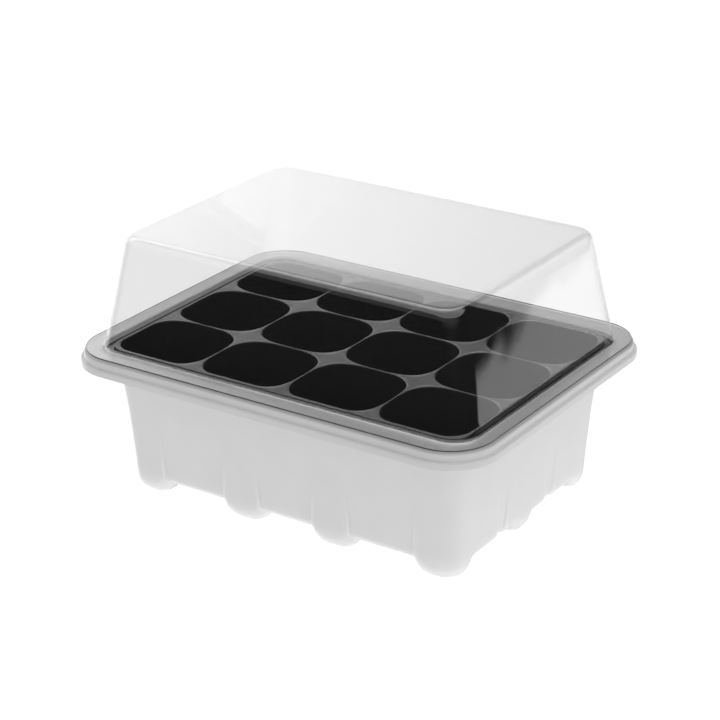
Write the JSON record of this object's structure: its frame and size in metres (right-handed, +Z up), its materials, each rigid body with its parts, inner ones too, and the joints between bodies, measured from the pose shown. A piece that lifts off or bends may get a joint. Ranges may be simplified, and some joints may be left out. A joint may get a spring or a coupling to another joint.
{
  "type": "humidity dome tray",
  "caption": "Seed-starting tray: a frosted water tub on moulded feet, a black insert of tapered planting cells and a clear lift-off humidity dome.",
  "frame": {"origin": "on the ground under the middle of the base tray", "axes": "+Z up, +X along the tray's long side, +Y along its short side"},
  "size_m": [0.1846, 0.1424, 0.1067],
  "materials": {
    "frosted_plastic": "frosted translucent white",
    "black_plastic": "satin black",
    "clear_plastic": "clear and glossy"
  },
  "bodies": {
    "base": {"base_tray": "frosted_plastic"},
    "insert": {"cell_insert": "black_plastic"},
    "dome": {"humidity_dome": "clear_plastic"}
  },
  "joints": [
    {"name": "insert_lift", "type": "slide", "parent": "base", "child": "insert", "axis": [0, 0, 1], "range_m": [0, 0.06]},
    {"name": "dome_lift", "type": "slide", "parent": "insert", "child": "dome", "axis": [0, 0, 1], "range_m": [0, 0.06]}
  ]
}
